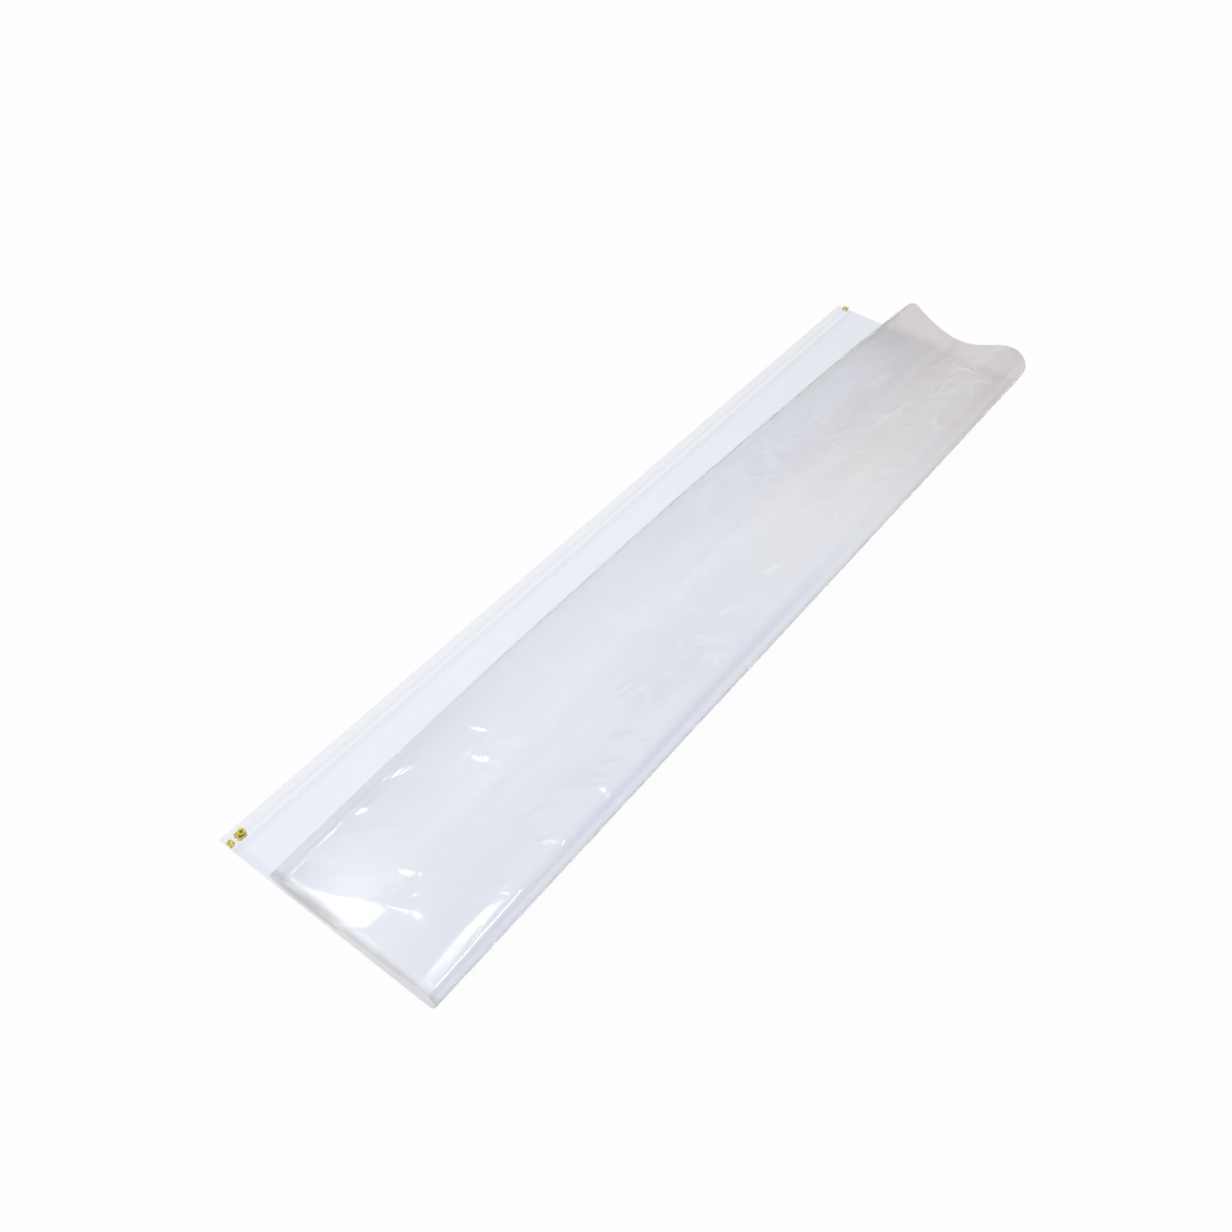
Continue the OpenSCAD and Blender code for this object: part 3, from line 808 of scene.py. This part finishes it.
def film_finish(name, refraction, gloss, clear, painted_grey_shade, deep):
    """Clear film: a soft clear base under a glossy coat, a tint that greys with painted shade, deepens
    with painted shade and the darker welds, and pales along the creases partly as painted highlight, where
    the marks say, and duller welds. Without a gloss of its own it follows the gloss mark."""
    material, tree, shader = principled(name)
    shader.inputs["IOR"].default_value = refraction
    shader.inputs["Transmission Weight"].default_value = 1
    shader.inputs["Coat Roughness"].default_value = COAT_ROUGHNESS
    shader.inputs["Coat IOR"].default_value = COAT_IOR
    if gloss is None:
        tree.links.new(attribute(tree, "gloss"), shader.inputs["Coat Weight"])
    else:
        shader.inputs["Coat Weight"].default_value = gloss
    # the grey and deep tints are painted shade, the deep one partly the darker welds
    greyed = tint_between(tree, attribute(tree, "painted_grey_shade"), clear, painted_grey_shade)
    deepened = tint_between(tree, attribute(tree, "deep"), greyed, deep)
    tint = tint_between(tree, attribute(tree, "whitening_and_highlight"), deepened, WHITENING_AND_HIGHLIGHT_TINT)
    tree.links.new(tint, shader.inputs["Base Color"])
    tree.links.new(film_bump(tree), shader.inputs["Normal"])
    roughness = mapped(tree, attribute(tree, "weld"), target=OPEN_TO_WELD_ROUGHNESS)
    tree.links.new(roughness, shader.inputs["Roughness"])
    return material


# each run's clear colour, its painted grey shade colour and its deep colour, painted shade and on the
# floor and tucked runs also the darker welds
FILM_FINISHES = dict(
    floor_run=film_finish("clear_vinyl", refraction=1.04, gloss=0.25, clear=(0.985, 0.988, 0.998),
                          painted_grey_shade=(0.93, 0.944, 0.981), deep=(0.68, 0.66, 0.64)),
    top_run=film_finish("clear_vinyl_top", refraction=1.06, gloss=None, clear=(0.98, 0.984, 0.99),
                        painted_grey_shade=(0.812, 0.785, 0.787), deep=(0.90, 0.908, 0.93)),
    tucked_run=film_finish("clear_vinyl_tucked", refraction=1.02, gloss=0.2, clear=(0.994, 0.994, 0.995),
                           painted_grey_shade=(0.985, 0.975, 0.960), deep=(0.86, 0.86, 0.86)),
)
FILM_FINISHES["inner_turn"] = FILM_FINISHES["top_run"]
for (ply, name), piece in film.items():
    piece.data.materials.append(FILM_FINISHES[name])
print("film finish on", len(film), "pieces")

# %% [markdown]
# The zip's rails are vinyl like the film, and so clear that they hardly tint what lies under them. They
# lie on two plies already, so they are made nearly transparent instead of refracting once more.

# %% The zip's finish
ZIP_TINT = (0.78, 0.84, 0.97, 1)
ZIP_ALPHA = 0.045
ZIP_ROUGHNESS = 0.2


def zip_finish():
    """Faint bluish vinyl."""
    material, _, shader = principled("zip_vinyl")
    shader.inputs["Base Color"].default_value = ZIP_TINT
    shader.inputs["Alpha"].default_value = ZIP_ALPHA
    shader.inputs["Roughness"].default_value = ZIP_ROUGHNESS
    return material


zip_vinyl = zip_finish()
for piece in zip_rails.values():
    piece.data.materials.append(zip_vinyl)
print("zip vinyl on", len(zip_rails), "rails")

# %% [markdown]
# The slider, pull and end stops are yellow brass with darker patches, which are painted reflection of dark
# surroundings. One noise texture sets both the tone and the roughness, so the two change together. Stamped
# brass has no knife edges, so a Bevel modifier rounds the sharp ones, after a Weld modifier has joined the
# faces.

# %% The brass
BRASS_METALLIC = 0.55
BRASS_ROUGHNESS = (0.2, 0.38)
BRASS_PATCHES = dict(Scale=600.0, Detail=3.0, Roughness=0.6)
# the dark stop is painted reflection of dark surroundings, the light stop the brass's own yellow
BRASS_TONE_AND_DARK_REFLECTION = [(0.36, (0.30, 0.22, 0.03)), (0.58, (1.0, 0.86, 0.22))]
BRASS_PIECES = ["near_end_stop", "far_end_stop", "slider_body", "slider_bail", "slider_pull"]
BRASS_EDGE = 0.22 * MM
BRASS_JOIN = 0.01 * MM
SHARP_ANGLE = np.radians(40)


def brass_finish():
    """Yellow brass whose tone, with painted dark reflection in its darker patches, and roughness follow
    the same patches.
    """
    material, tree, shader = principled("yellow_brass")
    shader.inputs["Metallic"].default_value = BRASS_METALLIC
    place = tree.nodes.new("ShaderNodeTexCoord")
    patches = add(tree, "ShaderNodeTexNoise", **BRASS_PATCHES)
    tree.links.new(place.outputs["Object"], patches.inputs["Vector"])
    tone = ramp(tree, patches.outputs["Fac"], BRASS_TONE_AND_DARK_REFLECTION)
    worn = mapped(tree, patches.outputs["Fac"], target=BRASS_ROUGHNESS)
    tree.links.new(tone, shader.inputs["Base Color"])
    tree.links.new(worn, shader.inputs["Roughness"])
    return material


def round_edges(piece):
    """Joins the corners that lie on each other and rounds the sharp edges."""
    weld = piece.modifiers.new("joined", "WELD")
    weld.merge_threshold = BRASS_JOIN
    bevel = piece.modifiers.new("rounded", "BEVEL")
    bevel.width = BRASS_EDGE
    bevel.segments = 2
    bevel.limit_method = "ANGLE"
    bevel.angle_limit = SHARP_ANGLE


brass = brass_finish()
for node in BRASS_PIECES:
    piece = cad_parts[node]
    piece.data.materials.clear()
    piece.data.materials.append(brass)
    round_edges(piece)
print("brass on", len(BRASS_PIECES), "pieces")

# %% [markdown]
# The stage is a plain white floor. To the camera, and to anything mirrored or seen through the film,
# it is white by its own colour, with a small share left for the shadow.

# %% The floor
FLOOR_HALF = 6.0
FLOOR_DROP = 0.4 * MM
SHADOW_SHARE = 0.04
GLOW_REACH = (0.6, 2.0)
GLOW_STRENGTH = (1.0, 0.7)
WHITE = (1, 1, 1, 1)
PAPER = (0.9, 0.9, 0.9, 1)


def any_ray(tree, *kinds):
    """1 for a ray of one of the named kinds, and 0 for the rest."""
    path = tree.nodes.new("ShaderNodeLightPath")
    share = path.outputs[f"Is {kinds[0]} Ray"]
    for kind in kinds[1:]:
        share = arithmetic(tree, "MAXIMUM", share, path.outputs[f"Is {kind} Ray"])
    return share


def mixed(tree, share, first, second):
    """Two shaders mixed by a share."""
    node = tree.nodes.new("ShaderNodeMixShader")
    tree.links.new(share, node.inputs["Fac"])
    tree.links.new(first, node.inputs[1])
    tree.links.new(second, node.inputs[2])
    return node.outputs["Shader"]


floor_mesh = bpy.data.meshes.new("white_floor")
corners = [(-1, -1), (1, -1), (1, 1), (-1, 1)]
floor_mesh.from_pydata([(a * FLOOR_HALF, b * FLOOR_HALF, -FLOOR_DROP) for a, b in corners], [],
                       [(0, 1, 2, 3)])
floor = bpy.data.objects.new("white_floor", floor_mesh)
bpy.context.scene.collection.objects.link(floor)

white_stage = bpy.data.materials.new("white_stage")
white_stage.use_nodes = True
tree = white_stage.node_tree
tree.nodes.clear()
output = tree.nodes.new("ShaderNodeOutputMaterial")
where = tree.nodes.new("ShaderNodeTexCoord")
reach = tree.nodes.new("ShaderNodeVectorMath")
reach.operation = "LENGTH"
tree.links.new(where.outputs["Object"], reach.inputs[0])
plain = add(tree, "ShaderNodeBsdfDiffuse", Color=PAPER)
glow = add(tree, "ShaderNodeEmission", Color=WHITE)
fade = mapped(tree, reach.outputs["Value"], GLOW_REACH, GLOW_STRENGTH)
straight = any_ray(tree, "Camera", "Transmission")
tree.links.new(arithmetic(tree, "MAXIMUM", straight, fade), glow.inputs["Strength"])
seen = any_ray(tree, "Camera", "Glossy", "Transmission")
glow_share = arithmetic(tree, "MULTIPLY", seen, 1 - SHADOW_SHARE)
surface = mixed(tree, glow_share, plain.outputs["BSDF"], glow.outputs["Emission"])
tree.links.new(surface, output.inputs["Surface"])
floor_mesh.materials.append(white_stage)
white_stage.cycles.emission_sampling = "NONE"
print("floor", 2 * FLOOR_HALF, "m wide")

# %% [markdown]
# Clear film mostly shows what it mirrors, so the room matters. Overhead it is dim and cool, ahead it
# has a darker warm band, low down it is pale, and on the side of the outer fold a dark blue band
# stands between the pale wall and the ceiling. The camera itself sees plain white.

# %% The room
AHEAD = [(0.0, (0.95, 0.96, 0.97)), (0.28, (0.82, 0.82, 0.83)), (0.54, (0.52, 0.51, 0.51)),
         (0.78, (0.62, 0.68, 0.77)), (1.0, (0.66, 0.72, 0.82))]
ASIDE = [(0.0, (0.97, 0.98, 1.0)), (0.35, (0.80, 0.84, 0.92)), (0.55, (0.30, 0.32, 0.42)),
         (0.80, (0.30, 0.32, 0.42)), (0.95, (0.66, 0.72, 0.82))]
ROOM_TINT = (0.94, 0.97, 1.0, 1)
ROOM_STRENGTH = 0.85
SIDE_Y = (0.25, 0.0)
SIDE_X = (0.7, 0.45)
LOW_Z = (0.25, 0.1)
ROOM_PATCHES = dict(Scale=5.0, Detail=2.0, Roughness=0.5)
PATCH_RANGE = (0.3, 0.7)
PATCH_STRENGTH = (0.45, 1.55)

world = bpy.data.worlds.new("studio")
bpy.context.scene.world = world
world.use_nodes = True
tree = world.node_tree
tree.nodes.clear()
output = tree.nodes.new("ShaderNodeOutputWorld")
room = add(tree, "ShaderNodeBackground", Color=ROOM_TINT, Strength=ROOM_STRENGTH)
mirrored = tree.nodes.new("ShaderNodeBackground")
white = add(tree, "ShaderNodeBackground", Color=WHITE, Strength=1.0)
toward = tree.nodes.new("ShaderNodeTexCoord")
split = tree.nodes.new("ShaderNodeSeparateXYZ")
tree.links.new(toward.outputs["Generated"], split.inputs["Vector"])
patches = add(tree, "ShaderNodeTexNoise", **ROOM_PATCHES)
tree.links.new(toward.outputs["Generated"], patches.inputs["Vector"])
patchy = mapped(tree, patches.outputs["Fac"], PATCH_RANGE, PATCH_STRENGTH)
tree.links.new(patchy, mirrored.inputs["Strength"])
to_side = arithmetic(tree, "MULTIPLY", mapped(tree, split.outputs["Y"], SIDE_Y),
                     mapped(tree, split.outputs["X"], SIDE_X))
colour = tint_between(tree, to_side, ramp(tree, split.outputs["Z"], AHEAD),
                      ramp(tree, split.outputs["Z"], ASIDE))
tree.links.new(colour, mirrored.inputs["Color"])
bent = any_ray(tree, "Glossy", "Transmission")
lit = mixed(tree, bent, room.outputs["Background"], mirrored.outputs["Background"])
low = mapped(tree, split.outputs["Z"], LOW_Z)
behind = arithmetic(tree, "MULTIPLY", low, any_ray(tree, "Transmission"))
plain_white = arithmetic(tree, "MAXIMUM", any_ray(tree, "Camera"), behind)
tree.links.new(mixed(tree, plain_white, lit, white.outputs["Background"]), output.inputs["Surface"])
world.cycles.sampling_method = "NONE"
print("room set")

# %% [markdown]
# Three soft panels overhead give the white glints: a broad one for the bright facet at the near edge,
# a narrow one for the stripe along the outer fold, and a small strong one for the sharp creases.

# %% The lamps
def soft_panel(name, place, aim, width, depth, power, tint):
    """A rectangular lamp at a place, turned to face a point."""
    data = bpy.data.lights.new(name, "AREA")
    data.shape = "RECTANGLE"
    data.size = width
    data.size_y = depth
    data.energy = power
    data.color = tint
    lamp = bpy.data.objects.new(name, data)
    lamp.location = place
    lamp.rotation_mode = "QUATERNION"
    lamp.rotation_quaternion = (Vector(aim) - Vector(place)).to_track_quat("-Z", "Y")
    bpy.context.scene.collection.objects.link(lamp)
    return lamp


PANEL_HEIGHT = 1.7
PANELS = dict(
    # place over the floor, size, brightness where white paper is 1, and tint
    facet_panel=((-0.22, 0.48), (0.36, 0.26), 2.4, (1.0, 0.97, 0.88)),
    stripe_panel=((0.10, 0.86), (0.14, 0.28), 3.5, (1.0, 0.98, 0.93)),
    crease_panel=((0.05, -0.08), (0.26, 0.15), 11.0, (1.0, 1.0, 1.0)),
)
for name, ((x, y), (width, depth), brightness, tint) in PANELS.items():
    power = brightness * np.pi * width * depth
    soft_panel(name, (x, y, PANEL_HEIGHT), (x, y, 0), width, depth, power, tint)
bpy.context.scene.view_settings.view_transform = "Standard"
cycles = bpy.context.scene.cycles
cycles.max_bounces = 32
cycles.transmission_bounces = 32
cycles.glossy_bounces = 8
print("lamps:", len(PANELS))
